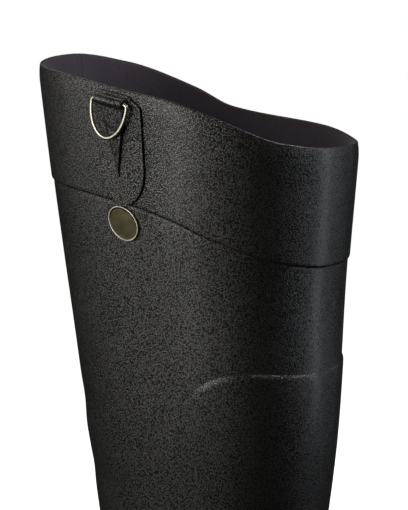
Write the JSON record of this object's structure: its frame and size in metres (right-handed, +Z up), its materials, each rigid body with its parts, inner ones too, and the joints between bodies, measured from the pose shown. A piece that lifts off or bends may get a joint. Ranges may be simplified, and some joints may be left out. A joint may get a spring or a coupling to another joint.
{
  "type": "hip wader",
  "caption": "Thigh-high rubber boot for the right foot, with a sloping collar, raised knee patch, lugged heeled sole and a swinging steel ring for a belt strap.",
  "frame": {"origin": "on the floor under the middle of the heel, at the mount heel_rest", "axes": "+X towards the toe, -Y towards the outer side of the leg, +Z up"},
  "size_m": [0.3684, 0.2045, 0.79],
  "materials": {
    "upper_rubber": "fine leather-like grain, satin",
    "sole_rubber": "matt",
    "lining_textile": "short-napped knit",
    "ring_steel": "bright nickel plate",
    "badge_metal": "dull bronze with a bright rim"
  },
  "bodies": {
    "boot": {"upper": "upper_rubber", "outsole": "sole_rubber", "foxing": "sole_rubber", "insole": "lining_textile", "tab_patch": "upper_rubber", "tab_loop": "upper_rubber", "badge": "badge_metal"},
    "ring": {"d_ring": "ring_steel"}
  },
  "joints": [
    {"name": "ring_swing", "type": "hinge", "parent": "boot", "child": "ring", "pos_m": [0.00209, -0.09578, 0.76791], "axis": [-0.9871, 0.0212, 0.159], "range_deg": [0, 200]}
  ]
}
